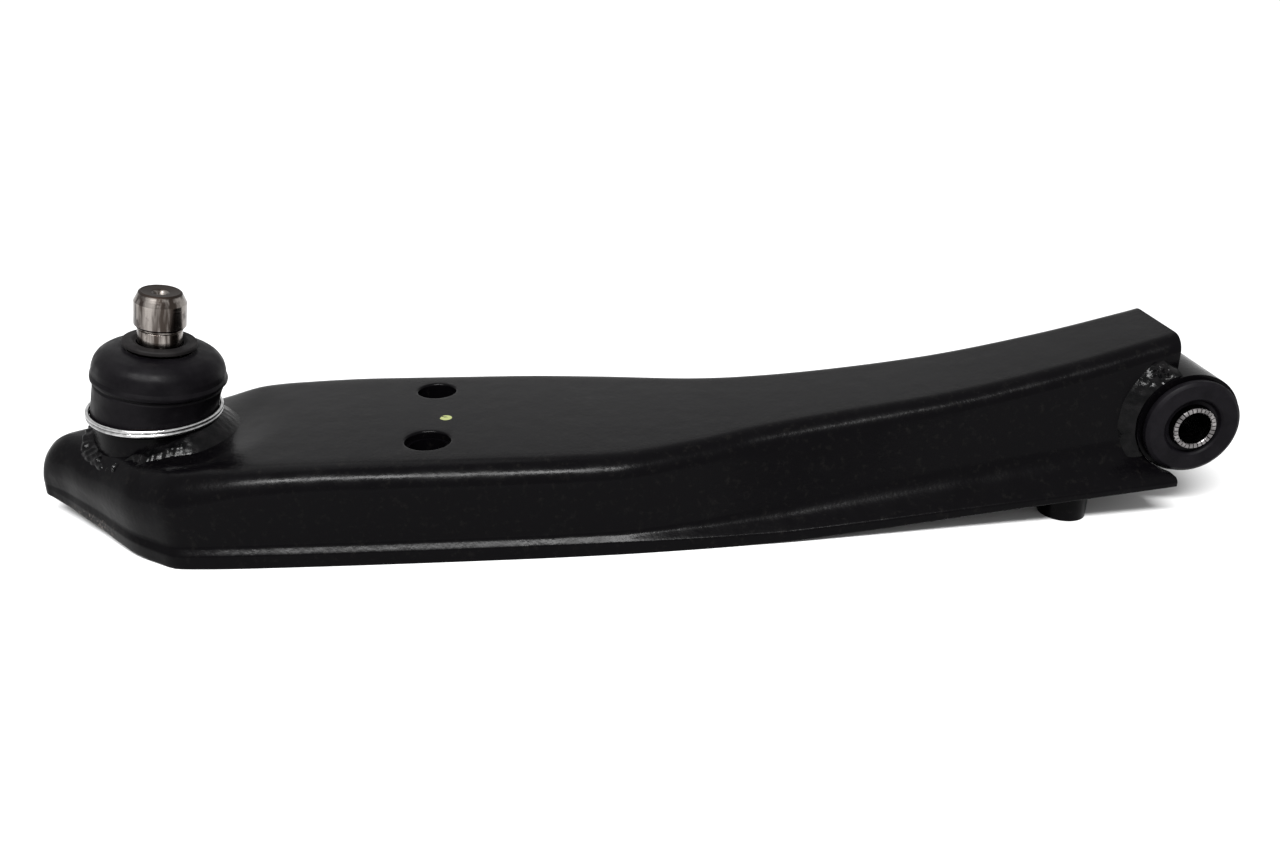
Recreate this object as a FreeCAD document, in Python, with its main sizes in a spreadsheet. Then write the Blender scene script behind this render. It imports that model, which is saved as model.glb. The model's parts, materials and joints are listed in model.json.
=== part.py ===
import FreeCAD, Part
import math
import os
import Sketcher
from FreeCAD import Vector

# Front lower control arm, outer ball joint toward -X, inner pivot bush at the origin.
# Origin: centre of the pivot bore. +Y: pivot axis. +Z: up. Millimetres.
# The arm is drawn as it lies on a flat floor, on its outer rim.

DIMENSIONS = {
    # overall layout
    "pivot_height": 35.5, "arm_length": 367.0, "sheet": 2.6, "weld_gap": 0.05,
    # pivot tube and bush
    "pivot_tube_radius": 18.7, "pivot_tube_bore": 16.2, "pivot_tube_half": 26.0,
    "bush_sleeve_bore": 15.0, "bush_sleeve_half": 25.6,
    "rubber_flange_radius": 17.5, "rubber_half": 30.2, "rubber_recess": 1.4,
    "inner_sleeve_radius": 7.8, "inner_sleeve_bore": 6.05, "inner_sleeve_half": 31.2,
    "bush_play": 0.05,
    # link boss under the near lip
    "boss_x": -40.5, "boss_y": -23.6, "boss_radius": 8.5, "boss_bore": 5.1,
    "boss_height": 22.0, "boss_bore_depth": 13.0,
    # tension rod seat
    "rod_x": -271.0, "rod_near_y": -21.2, "rod_far_y": 23.8, "rod_near_hole": 7.8,
    "rod_far_hole": 7.0, "spacer_radius": 9.5, "spacer_bore": 6.5,
    "plate_bottom": 1.2, "plate_thickness": 2.0, "plate_gap": 0.5,
    # ball joint housing, measured along its own axis from the ball centre
    "ball_height": 25.0, "housing_tilt": 4.3, "stud_tilt": 9.3,
    "housing_radius": 20.6, "housing_bottom": 19.0, "housing_shoulder": 11.6,
    "housing_top": 16.2, "housing_groove": 19.2, "housing_bore": 15.6,
    "housing_mouth": 12.2, "housing_lip_radius": 16.4, "housing_seat_top": 9.2,
    "cap_radius": 17.0, "cap_thickness": 2.4, "cap_rebate": 3.0, "cap_dish": 0.7,
    # ball, seats and spring
    "ball_radius": 12.5, "ball_play": 0.05, "seat_radius": 15.5, "seat_mouth": 10.7,
    "seat_bottom": 14.0, "spring_bore": 7.6, "spring_radius": 14.6, "spring_thickness": 0.95,
    # ball stud, along its own axis from the ball centre
    "stud_root_radius": 6.5, "stud_root_top": 22.0, "stud_neck_radius": 7.3,
    "stud_shoulder": 25.0, "stud_head_bottom": 45.4, "stud_head_radius": 8.5,
    "stud_chamfer": 54.4, "stud_top": 58.0, "stud_face_radius": 6.7,
    "stud_dimple_radius": 2.4, "stud_dimple_depth": 1.2,
    # boot, along the housing axis from the ball centre
    "boot_foot": 11.9, "boot_wall": 2.3, "boot_foot_radius": 21.4, "boot_crease": 23.2,
    "boot_bulge": 27.0, "boot_bulge_radius": 22.4, "boot_top": 37.0,
    "boot_mouth": 11.0, "clamp_wire": 0.75, "clamp_height": 14.1, "clamp_pitch": 0.7,
    "retainer_height": 38.4, "retainer_thickness": 1.9, "retainer_radius": 12.3,
    "retainer_play": 0.35,
    # weld beads
    "housing_bead": 3.3, "pivot_bead_wall": 25.0, "pivot_bead_foot": 17.5,
    "pivot_bead_end": 24.6,
}

# Pressed channel: one row for each drawn section, outermost first.
# x, half width at the top, top height, corner radius, half width at the rim, rim height,
# lip height, shoulder step inward, shoulder height above the rim, shoulder radius
SECTIONS = {
    "tip": (-408.5, 4.6, 18.0, 4.0, 4.6, 9.0, 2.5, 0.1, 4.0, 1.5),
    "beak": (-406.0, 7.0, 24.0, 6.0, 5.6, 8.4, 2.8, 0.1, 4.6, 2.0),
    "snout": (-402.5, 10.0, 28.0, 9.0, 7.8, 7.5, 3.2, 0.3, 5.2, 2.0),
    "brow": (-398.0, 12.8, 30.6, 11.5, 10.8, 6.3, 3.5, 0.5, 5.8, 2.5),
    "crown": (-392.0, 17.2, 31.8, 13.5, 15.8, 5.0, 3.8, 0.7, 6.3, 2.5),
    "cheek": (-384.0, 23.8, 32.2, 15.5, 22.4, 3.6, 4.0, 0.9, 6.7, 2.5),
    "jaw": (-376.0, 30.6, 32.2, 16.5, 29.8, 2.2, 4.3, 1.2, 7.0, 3.0),
    "bend": (-369.0, 36.6, 32.1, 17.0, 35.9, 1.2, 4.5, 1.5, 7.2, 3.0),
    "turn": (-361.5, 41.2, 32.1, 16.0, 40.6, 0.5, 4.6, 1.8, 7.3, 3.0),
    "corner": (-352.0, 44.2, 32.2, 14.0, 45.2, 0.0, 4.7, 2.0, 7.4, 3.0),
    "shoulder": (-326.0, 45.0, 33.3, 9.5, 46.4, 0.0, 4.8, 2.3, 7.5, 3.0),
    "rod_front": (-295.0, 45.0, 34.0, 8.5, 46.6, 0.0, 4.8, 2.3, 7.5, 3.0),
    "rod_back": (-240.0, 44.6, 34.0, 8.5, 46.2, 0.0, 4.8, 2.3, 7.5, 3.0),
    "narrowing": (-208.0, 42.4, 33.8, 8.5, 45.3, 0.0, 4.6, 2.6, 7.5, 3.5),
    "waist": (-180.0, 35.0, 34.9, 8.5, 43.6, 0.0, 4.3, 4.0, 7.7, 5.0),
    "web_start": (-154.0, 27.8, 37.5, 8.0, 41.6, 0.3, 4.0, 5.8, 8.4, 8.0),
    "web": (-122.0, 24.2, 41.2, 7.5, 39.8, 2.6, 3.6, 8.0, 9.2, 10.0),
    "rise": (-85.0, 22.6, 46.4, 7.0, 38.2, 6.4, 3.1, 10.4, 9.8, 12.0),
    "neck": (-42.0, 20.8, 55.6, 6.8, 36.6, 10.8, 2.6, 12.6, 10.2, 13.0),
    "end": (-4.0, 19.2, 65.8, 6.5, 34.5, 14.1, 2.3, 14.0, 10.4, 14.0),
}
COLUMNS = ("x", "top_half", "top", "corner", "rim_half", "rim", "lip", "step", "rise", "sweep")


def make_sheet(doc):
    """Puts every driving dimension in one spreadsheet and returns it."""
    sheet = doc.addObject("Spreadsheet::Sheet", "Dims")
    rows = list(DIMENSIONS.items())
    for section, values in SECTIONS.items():
        for column, value in zip(COLUMNS, values):
            rows.append(("%s_%s" % (section, column), value))
    for row, (alias, value) in enumerate(rows, 1):
        sheet.set("A%d" % row, alias)
        sheet.set("B%d" % row, repr(value))
        sheet.setAlias("B%d" % row, alias)
    doc.recompute()
    return sheet


def known(word):
    """True when a word of an expression is a name in the sheet."""
    return word in DIMENSIONS or any(word == "%s_%s" % (s, c) for s in SECTIONS for c in COLUMNS)


def terms(expression):
    """Writes the sheet names in an expression in full: word becomes Dims.word."""
    return " ".join("Dims." + word if known(word) else word for word in expression.split())


def value_of(sheet, expression):
    """Works out a sum of sheet names and numbers."""
    words = ["+"] + expression.split()
    total = 0.0
    for sign, word in zip(words[0::2], words[1::2]):
        number = float(sheet.get(word)) if known(word) else float(word)
        total += number if sign == "+" else -number
    return total


def closed_sketch(sheet, body, role, corners):
    """A closed outline on one origin plane, each corner held to the origin by the sheet."""
    sketch = body.newObject("Sketcher::SketchObject", body.Name + "_outline")
    plane = [f for f in body.Origin.OriginFeatures if f.Role == role][0]
    sketch.AttachmentSupport = (plane, [""])
    sketch.MapMode = "FlatFace"
    points = [Vector(value_of(sheet, a), value_of(sheet, b), 0) for a, b in corners]
    for start, end in zip(points, points[1:] + points[:1]):
        sketch.addGeometry(Part.LineSegment(start, end), False)
    for i in range(len(points)):
        following = (i + 1) % len(points)
        sketch.addConstraint(Sketcher.Constraint("Coincident", i, 2, following, 1))
    for i, (across, along) in enumerate(corners):
        hold(sketch, "DistanceX", -2, i, across, points[i].x)
        hold(sketch, "DistanceY", -1, i, along, points[i].y)
    return sketch


def hold(sketch, kind, axis, corner, expression, number):
    """Holds one coordinate of a corner: on the axis when it is nought, else by the sheet."""
    if abs(number) < 1e-9:
        sketch.addConstraint(Sketcher.Constraint("PointOnObject", corner, 1, axis))
        return
    index = sketch.addConstraint(Sketcher.Constraint(kind, -1, 1, corner, 1, number))
    sketch.setExpression("Constraints[%d]" % index, terms(expression))


def turned(doc, sheet, name, corners):
    """A turned piece: its half outline (radius, height) revolved about its own Z axis."""
    body = doc.addObject("PartDesign::Body", name)
    sketch = closed_sketch(sheet, body, "XZ_Plane", corners)
    turn = body.newObject("PartDesign::Revolution", name + "_turn")
    turn.Profile = sketch
    turn.ReferenceAxis = (sketch, ["V_Axis"])
    turn.Angle = 360.0
    body.Tip = turn
    return body


def moved(obj, x, y, z, axis=Vector(0, 0, 1), degrees=0.0):
    obj.Placement = FreeCAD.Placement(Vector(x, y, z), FreeCAD.Rotation(axis, degrees))
    return obj


def along_pivot(obj, x, z):
    """Lays a piece turned about Z along the pivot axis, +Z toward +Y."""
    return moved(obj, x, 0, z, Vector(1, 0, 0), -90.0)


def on_axis(sheet, obj, tilt_name):
    """Stands a piece on the ball centre, its axis leaning toward the pivot."""
    return moved(obj, *ball_centre(sheet), Vector(0, 1, 0), sheet.get(tilt_name))


def ball_centre(sheet):
    """The ball centre: on the housing axis, below the clamp ring."""
    drop = sheet.get("clamp_height") * math.sin(math.radians(sheet.get("housing_tilt")))
    height = sheet.get("ball_height") - sheet.get("pivot_height")
    return -sheet.get("arm_length") - drop, 0.0, height


def primitive(doc, kind, name, sizes):
    obj = doc.addObject(kind, name)
    for prop, expression in sizes.items():
        obj.setExpression(prop, terms(expression))
    return obj


def cut(doc, name, base, tool):
    result = doc.addObject("Part::Cut", name)
    result.Base = base
    result.Tool = tool
    return result


def fuse(doc, name, pieces):
    result = doc.addObject("Part::MultiFuse", name)
    result.Shapes = pieces
    return result


def rounded_wire(corners, radii, x):
    """A closed wire across the arm at x: straight sides with an arc at each rounded corner."""
    count = len(corners)
    starts, ends, arcs = [], [], []
    for i, corner in enumerate(corners):
        before, after, radius = corners[i - 1], corners[(i + 1) % count], radii[i]
        if not radius:
            starts.append(corner)
            ends.append(corner)
            arcs.append(None)
            continue
        back = (before - corner).normalize()
        ahead = (after - corner).normalize()
        half = back.getAngle(ahead) / 2
        reach = radius / math.tan(half)
        middle = (back + ahead).normalize() * (radius / math.sin(half) - radius)
        starts.append(corner + back * reach)
        ends.append(corner + ahead * reach)
        arcs.append(corner + middle)
    edges = []
    for i in range(count):
        if arcs[i] is not None:
            edges.append(Part.Arc(starts[i], arcs[i], ends[i]).toShape())
        edges.append(Part.makeLine(ends[i], starts[(i + 1) % count]))
    wire = Part.Wire(edges)
    wire.translate(Vector(x, 0, 0))
    return wire


def shifted(corners, inset):
    """Moves each side of an open outline inward by inset and meets them again."""
    sides = []
    for start, end in zip(corners, corners[1:]):
        along = (end - start).normalize()
        inward = Vector(0, -along.z, along.y)
        sides.append((start + inward * inset, along))
    points = [sides[0][0]]
    for (p, u), (q, v) in zip(sides, sides[1:]):
        cross = u.y * v.z - u.z * v.y
        reach = ((q.y - p.y) * v.z - (q.z - p.z) * v.y) / cross
        points.append(p + u * reach)
    return points


def smooth(xs, ys, x):
    """Value at x of the monotone cubic through the points (xs, ys): it never overshoots."""
    steps = [b - a for a, b in zip(xs, xs[1:])]
    slopes = [(b - a) / step for a, b, step in zip(ys, ys[1:], steps)]
    tangents = [slopes[0]]
    for i in range(1, len(slopes)):
        before, after = slopes[i - 1], slopes[i]
        if before * after <= 0:
            tangents.append(0.0)
            continue
        w1 = 2 * steps[i] + steps[i - 1]
        w2 = steps[i] + 2 * steps[i - 1]
        tangents.append((w1 + w2) / (w1 / before + w2 / after))
    tangents.append(slopes[-1])
    i = max(k for k in range(len(steps)) if xs[k] <= x or k == 0)
    t = (x - xs[i]) / steps[i]
    rest = 1 - t
    return (ys[i] * (1 + 2 * t) * rest * rest + ys[i + 1] * t * t * (3 - 2 * t)
            + steps[i] * t * rest * (tangents[i] * rest - tangents[i + 1] * t))


def stations(sheet):
    """Where the channel is cut across: close together at the nose, even further in."""
    x, end, step = sheet.get("tip_x"), sheet.get("end_x"), 2.2
    places = []
    while x < end - 8:
        places.append(x)
        x += step
        step = min(step * 1.16, 13.0)
    return places + [end]


def section_sizes(sheet, x):
    names = list(SECTIONS)
    xs = [sheet.get(name + "_x") for name in names]
    return {c: smooth(xs, [sheet.get("%s_%s" % (n, c)) for n in names], x) for c in COLUMNS}


def section_wire(sheet, size, x, inset):
    """One section of the channel; inset is nought outside and the sheet thickness inside."""
    floor = -sheet.get("pivot_height")
    rim, top = floor + size["rim"], floor + size["top"]
    half = [Vector(0, size["rim_half"], rim),
            Vector(0, size["rim_half"], rim + size["lip"]),
            Vector(0, size["rim_half"] - size["step"], rim + size["rise"]),
            Vector(0, size["top_half"], top),
            Vector(0, 0, top)]
    radii = [0, 1.6, size["sweep"], size["corner"]]
    if inset:
        half = shifted(half, inset)
        half[0] = half[0] - Vector(0, 0, 2 * inset)
        radii = [0, 0.4, size["sweep"] + inset, max(size["corner"] - inset, 1.2)]
    side = half[:4]
    other = [Vector(0, -p.y, p.z) for p in reversed(side)]
    return rounded_wire(side + other, radii + radii[::-1], x)


def lofted(sheet, inset):
    """A skin through every station; the inner one starts and ends one sheet further in."""
    places = stations(sheet)
    wires = []
    for i, place in enumerate(places):
        x = place + inset if i in (0, len(places) - 1) else place
        size = section_sizes(sheet, min(x, places[-1]))
        wires.append(section_wire(sheet, size, x, inset))
    if inset:
        del wires[1]
    return Part.makeLoft(wires, True, False)


def housing_axis(sheet):
    lean = math.radians(sheet.get("housing_tilt"))
    return Vector(math.sin(lean), 0, math.cos(lean))


def as_feature(doc, name, shape):
    """A piece whose faces are taken from its neighbours: the largest solid of a shape."""
    feature = doc.addObject("Part::Feature", name)
    feature.Shape = max(shape.Solids, key=lambda solid: solid.Volume)
    return feature


def make_shell(doc, sheet):
    """The pressed channel: outer skin less inner skin, less the seats of the fitted parts."""
    skin = lofted(sheet, 0).cut(lofted(sheet, sheet.get("sheet")))
    gap = sheet.get("weld_gap")
    tube_radius = sheet.get("pivot_tube_radius") + gap
    tube = Part.makeCylinder(tube_radius, 120, Vector(0, -60, 0), Vector(0, 1, 0))
    axis = housing_axis(sheet)
    foot = Vector(*ball_centre(sheet)) - axis * 20
    housing = Part.makeCylinder(sheet.get("housing_radius") + gap, 60, foot, axis)
    tools = [tube, housing]
    for side in ("near", "far"):
        place = Vector(sheet.get("rod_x"), sheet.get("rod_%s_y" % side), -20)
        tools.append(Part.makeCylinder(sheet.get("rod_%s_hole" % side), 60, place))
    return as_feature(doc, "arm_shell", skin.cut(tools))


def make_closing_plate(doc, sheet):
    """Flat plate between the lips, from the ball joint to the web."""
    stations = ("bend", "turn", "corner", "rod_front", "rod_back", "narrowing", "waist",
                "web_start")
    near, far = [], []
    for station in stations:
        half = "%s_rim_half" % station
        far.append((station + "_x", half + " - sheet - plate_gap"))
        near.append((station + "_x", "0 - " + half + " + sheet + plate_gap"))
    blank = doc.addObject("PartDesign::Body", "closing_plate_blank")
    sketch = closed_sketch(sheet, blank, "XY_Plane", near + far[::-1])
    pad = blank.newObject("PartDesign::Pad", "closing_plate_pad")
    pad.Profile = sketch
    pad.setExpression("Length", terms("plate_thickness"))
    blank.Tip = pad
    moved(blank, 0, 0, sheet.get("plate_bottom") - sheet.get("pivot_height"))
    height = {"Height": "plate_thickness * 10"}
    opening = primitive(doc, "Part::Cylinder", "housing_opening",
                        {"Radius": "housing_radius + 1.6", **height})
    centre = ball_centre(sheet)
    moved(opening, centre[0] - 1.9, 0, -sheet.get("pivot_height") - 5)
    bolts = []
    for side in ("near", "far"):
        bolt = primitive(doc, "Part::Cylinder", "plate_hole_" + side,
                         {"Radius": "spacer_bore", **height})
        place = (sheet.get("rod_x"), sheet.get("rod_%s_y" % side))
        bolts.append(moved(bolt, *place, -sheet.get("pivot_height") - 5))
    openings = fuse(doc, "plate_openings", [opening] + bolts)
    return cut(doc, "closing_plate", blank, openings)


def make_spacer(doc, sheet, side):
    """Crush tube between the closing plate and the top of the channel."""
    top = "rod_front_top - sheet - 0.1 - plate_bottom - plate_thickness"
    name = "spacer_" + side
    tube = turned(doc, sheet, name, [("spacer_bore", "0"), ("spacer_radius", "0"),
                                     ("spacer_radius", top), ("spacer_bore", top)])
    foot = sheet.get("plate_bottom") + sheet.get("plate_thickness") - sheet.get("pivot_height")
    return moved(tube, sheet.get("rod_x"), sheet.get("rod_%s_y" % side), foot)


def tube_corners(bore, radius, half):
    return [(bore, "0 - " + half), (radius, "0 - " + half), (radius, half), (bore, half)]


def make_pivot(doc, sheet):
    """Welded pivot tube with the bonded bush pressed into it."""
    tube = turned(doc, sheet, "pivot_tube",
                  tube_corners("pivot_tube_bore", "pivot_tube_radius", "pivot_tube_half"))
    outer = turned(doc, sheet, "bush_outer_sleeve",
                   tube_corners("bush_sleeve_bore", "pivot_tube_bore - 0.05", "bush_sleeve_half"))
    bore = "inner_sleeve_radius + bush_play"
    end = [(bore, "rubber_half - rubber_recess"),
           (bore + " + 1.8", "rubber_half - rubber_recess"),
           (bore + " + 2.6", "rubber_half"),
           ("rubber_flange_radius - 1.2", "rubber_half"),
           ("rubber_flange_radius", "rubber_half - 1.2"),
           ("rubber_flange_radius", "pivot_tube_half + 0.05"),
           ("bush_sleeve_bore - 0.05", "pivot_tube_half + 0.05")]
    other = [(r, "0 - " + y.replace("-", "~").replace("+", "-").replace("~", "+"))
             for r, y in end]
    rubber = turned(doc, sheet, "bush_rubber", other + end[::-1])
    inner = turned(doc, sheet, "bush_inner_sleeve",
                   tube_corners("inner_sleeve_bore", "inner_sleeve_radius", "inner_sleeve_half"))
    pieces = [tube, outer, rubber, inner]
    for piece in pieces:
        along_pivot(piece, 0, 0)
    return pieces


def make_pivot_weld(doc, sheet, name, side):
    """Fillet weld round the pivot tube where it leaves the wall of the channel."""
    wall, end = sheet.get("pivot_bead_wall"), sheet.get("pivot_tube_radius") + 0.6
    foot, tip = sheet.get("pivot_bead_foot"), sheet.get("pivot_bead_end")
    cone = Part.makeCone(wall, end, tip - foot, Vector(0, side * foot, 0), Vector(0, side, 0))
    radius = sheet.get("pivot_tube_radius") + sheet.get("weld_gap")
    tube = Part.makeCylinder(radius, 120, Vector(0, -60, 0), Vector(0, 1, 0))
    reach = Part.makeBox(60, 80, 80, Vector(-60 + sheet.get("end_x"), -40, -40))
    bead = cone.common(reach).cut([tube, lofted(sheet, 0)])
    return as_feature(doc, name, bead)


def make_housing(doc, sheet):
    """Turned ball joint housing, open at the top, closed by a cap from below."""
    bottom = "0 - housing_bottom"
    rebate = "cap_rebate - housing_bottom"
    housing = turned(doc, sheet, "ball_housing", [
        ("cap_radius + 0.05", bottom), ("housing_radius", bottom),
        ("housing_radius", "housing_shoulder"), ("housing_groove", "housing_shoulder"),
        ("housing_groove", "housing_top"), ("housing_lip_radius", "housing_top"),
        ("housing_mouth", "housing_seat_top"), ("housing_bore", "housing_seat_top"),
        ("housing_bore", rebate), ("cap_radius + 0.05", rebate)])
    low = "cap_rebate - housing_bottom - cap_thickness - 0.05"
    high = "cap_rebate - housing_bottom - 0.05"
    cap = turned(doc, sheet, "end_cap", [
        ("0", low + " + cap_dish"), ("9", low + " + cap_dish"), ("10.5", low),
        ("cap_radius", low), ("cap_radius", high), ("10.5", high),
        ("9", high + " + cap_dish"), ("0", high + " + cap_dish")])
    for piece in (housing, cap):
        on_axis(sheet, piece, "housing_tilt")
    return [housing, cap]


def make_housing_weld(doc, sheet, housing):
    """Weld bead between the housing and the dished top of the channel."""
    centre = Vector(*ball_centre(sheet))
    height = sheet.get("bend_top") - sheet.get("pivot_height")
    lean = math.tan(math.radians(sheet.get("housing_tilt")))
    centre = Vector(centre.x + (height - centre.z) * lean, 0, height - 0.6)
    ring = Part.makeTorus(sheet.get("housing_radius") + 0.9, sheet.get("housing_bead"), centre)
    return as_feature(doc, "housing_weld", ring.cut([lofted(sheet, 0), housing.Shape]))


def make_seats(doc, sheet):
    """Plastic seat halves round the ball and the disc spring that loads them."""
    hollow = {"Radius": "ball_radius + ball_play"}
    lower = cut(doc, "seat_lower",
                moved(primitive(doc, "Part::Cylinder", "seat_lower_blank",
                                {"Radius": "seat_radius", "Height": "seat_bottom - 0.3"}),
                      0, 0, -sheet.get("seat_bottom")),
                primitive(doc, "Part::Sphere", "seat_lower_hollow", hollow))
    upper_blank = primitive(doc, "Part::Cylinder", "seat_upper_blank",
                            {"Radius": "seat_radius", "Height": "housing_seat_top - 0.1"})
    mouth = primitive(doc, "Part::Cone", "seat_upper_mouth",
                      {"Radius1": "seat_mouth - 0.2", "Radius2": "seat_mouth + 2.0",
                       "Height": "housing_seat_top - 5.0"})
    moved(mouth, 0, 0, 6.2)
    upper_hollow = primitive(doc, "Part::Sphere", "seat_upper_hollow", hollow)
    upper = cut(doc, "seat_upper", upper_blank,
                fuse(doc, "seat_upper_tools", [upper_hollow, mouth]))
    low = "0.1 - seat_bottom - 0.15"
    spring = turned(doc, sheet, "preload_spring", [
        ("spring_radius", "0 - seat_bottom - 2.0"),
        ("spring_radius", "spring_thickness - seat_bottom - 2.0"),
        ("spring_bore", low), ("spring_bore", low + " - spring_thickness")])
    for piece in (lower, upper, spring):
        on_axis(sheet, piece, "housing_tilt")
    return [lower, upper, spring]


def make_boot(doc, sheet):
    """Moulded dust boot: a straight foot, a crease, a bulge and a domed top."""
    outer = [("boot_foot_radius", "boot_foot"), ("boot_foot_radius", "boot_crease"),
             ("boot_foot_radius + 0.4", "boot_crease + 1.4"),
             ("boot_bulge_radius", "boot_bulge - 1.2"), ("boot_bulge_radius", "boot_bulge + 1.0"),
             ("boot_bulge_radius - 0.5", "boot_bulge + 3.2"),
             ("boot_bulge_radius - 2.2", "boot_top - 4.6"),
             ("boot_bulge_radius - 5.2", "boot_top - 1.9"),
             ("boot_bulge_radius - 8.4", "boot_top - 0.5"),
             ("boot_mouth + 1.8", "boot_top"), ("boot_mouth", "boot_top")]
    inner = [("housing_groove + 0.05", "boot_foot"), ("housing_groove + 0.1", "boot_crease + 0.6"),
             ("boot_bulge_radius - boot_wall", "boot_bulge - 0.6"),
             ("boot_bulge_radius - boot_wall", "boot_bulge + 0.8"),
             ("boot_bulge_radius - boot_wall - 0.5", "boot_bulge + 2.4"),
             ("boot_bulge_radius - boot_wall - 2.0", "boot_top - 5.9"),
             ("boot_bulge_radius - boot_wall - 4.6", "boot_top - 3.9"),
             ("boot_bulge_radius - boot_wall - 7.2", "boot_top - 2.8"),
             ("boot_mouth", "boot_top - 2.3")]
    boot = turned(doc, sheet, "dust_boot", outer + inner[::-1])
    turns = []
    for i, sign in enumerate(("-", "+")):
        turn = primitive(doc, "Part::Torus", "clamp_turn_%d" % (i + 1),
                         {"Radius1": "boot_foot_radius + clamp_wire + 0.05", "Radius2": "clamp_wire"})
        offset = sheet.get("clamp_height") + (i * 2 - 1) * sheet.get("clamp_pitch")
        turns.append(moved(turn, 0, 0, offset))
    clamp = fuse(doc, "boot_clamp", turns)
    for piece in (boot, clamp):
        on_axis(sheet, piece, "housing_tilt")
    return [boot, clamp]


def make_stud(doc, sheet):
    """Ball stud with a straight pinch-bolt head, and the ring that closes the boot on it."""
    ball = primitive(doc, "Part::Sphere", "stud_ball", {"Radius": "ball_radius"})
    ball.Angle1 = -62
    shank = turned(doc, sheet, "stud_shank", [
        ("0", "ball_radius - 5.0"), ("stud_root_radius", "ball_radius - 5.0"),
        ("stud_root_radius", "stud_root_top"), ("stud_neck_radius", "stud_shoulder"),
        ("stud_neck_radius", "stud_head_bottom"), ("stud_head_radius - 0.4", "stud_head_bottom"),
        ("stud_head_radius", "stud_head_bottom + 0.5"), ("stud_head_radius", "stud_chamfer"),
        ("stud_face_radius + 0.3", "stud_top - 0.4"), ("stud_face_radius - 0.2", "stud_top"),
        ("stud_dimple_radius", "stud_top"), ("0", "stud_top - stud_dimple_depth")])
    stud = fuse(doc, "ball_stud", [ball, shank])
    ring = turned(doc, sheet, "boot_retainer", [
        ("stud_neck_radius + retainer_play", "retainer_height"),
        ("retainer_radius", "retainer_height"),
        ("retainer_radius", "retainer_height + retainer_thickness - 0.5"),
        ("retainer_radius - 0.6", "retainer_height + retainer_thickness"),
        ("stud_neck_radius + retainer_play", "retainer_height + retainer_thickness")])
    for piece in (stud, ring):
        on_axis(sheet, piece, "stud_tilt")
    return [stud, ring]


def make_boss(doc, sheet, shell):
    """Upright boss welded under the near lip; it reaches the floor."""
    foot = Vector(sheet.get("boss_x"), sheet.get("boss_y"), -sheet.get("pivot_height"))
    height = sheet.get("boss_height")
    boss = Part.makeCylinder(sheet.get("boss_radius"), height, foot)
    bore = Part.makeCylinder(sheet.get("boss_bore"), sheet.get("boss_bore_depth"), foot)
    return as_feature(doc, "link_boss", boss.cut([bore, shell.Shape]))


def check(nodes):
    """Stops the build when a document object failed or a node has no sound solid."""
    for obj in nodes[0].Document.Objects:
        if "Invalid" in obj.State or "Error" in obj.State:
            raise RuntimeError("%s: %s" % (obj.Name, obj.State))
    for node in nodes:
        if node.Shape.isNull() or not node.Shape.isValid() or not node.Shape.Solids:
            raise RuntimeError("%s has no sound solid" % node.Name)


def main():
    doc = FreeCAD.newDocument("control_arm")
    sheet = make_sheet(doc)
    shell = make_shell(doc, sheet)
    nodes = [shell, make_closing_plate(doc, sheet)]
    nodes += [make_spacer(doc, sheet, "near"), make_spacer(doc, sheet, "far")]
    nodes += make_pivot(doc, sheet)
    nodes += [make_pivot_weld(doc, sheet, "pivot_weld_near", -1)]
    nodes += [make_pivot_weld(doc, sheet, "pivot_weld_far", 1)]
    nodes += make_housing(doc, sheet)
    doc.recompute()
    nodes += [make_housing_weld(doc, sheet, nodes[-2])]
    nodes += make_seats(doc, sheet) + make_boot(doc, sheet) + make_stud(doc, sheet)
    nodes += [make_boss(doc, sheet, shell)]
    doc.recompute()
    check(nodes)
    os.makedirs("parts", exist_ok=True)
    for node in nodes:
        node.Label = node.Name
        node.Shape.exportStep("parts/%s.step" % node.Name)
        box = node.Shape.BoundBox
        print("%-18s %9.1f mm3  x %.1f %.1f  y %.1f %.1f  z %.1f %.1f" % (
            node.Name, node.Shape.Volume, box.XMin, box.XMax, box.YMin, box.YMax,
            box.ZMin, box.ZMax))


main()
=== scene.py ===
import json
import math

import bmesh
import bpy
from mathutils import Matrix, Vector, noise


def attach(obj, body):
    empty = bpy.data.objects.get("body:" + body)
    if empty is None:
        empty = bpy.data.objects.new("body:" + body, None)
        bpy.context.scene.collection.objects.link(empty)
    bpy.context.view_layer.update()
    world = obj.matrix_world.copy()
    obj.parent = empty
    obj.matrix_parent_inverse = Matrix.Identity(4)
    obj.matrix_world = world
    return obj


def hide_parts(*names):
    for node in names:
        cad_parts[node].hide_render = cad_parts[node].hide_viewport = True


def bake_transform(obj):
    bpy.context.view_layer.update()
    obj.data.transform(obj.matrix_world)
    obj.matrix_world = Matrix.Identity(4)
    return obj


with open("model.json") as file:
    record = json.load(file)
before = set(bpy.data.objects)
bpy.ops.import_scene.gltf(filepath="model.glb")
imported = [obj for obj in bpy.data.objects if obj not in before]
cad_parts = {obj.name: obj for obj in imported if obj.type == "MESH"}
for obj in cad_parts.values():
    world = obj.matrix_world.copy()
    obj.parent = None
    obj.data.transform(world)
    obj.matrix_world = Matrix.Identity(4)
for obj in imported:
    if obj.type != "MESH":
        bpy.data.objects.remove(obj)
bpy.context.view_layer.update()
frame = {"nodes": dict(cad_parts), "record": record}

# All sizes below are in millimetres; meshes are made in metres. The row frame has its
# origin at the pivot bore, +Y along the pivot axis, -X toward the ball joint, +Z up.
MM = 0.001
FLOOR = -35.5
JOINTS = {j["name"]: j for j in frame["record"]["behaviour"]["joints"]}
BALL = Vector(JOINTS["ball_swing"]["pos_m"]) / MM
STUD_AXIS = Vector(JOINTS["stud_spin"]["axis"]).normalized()
HOUSING_LEAN = math.radians(4.3)
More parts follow.
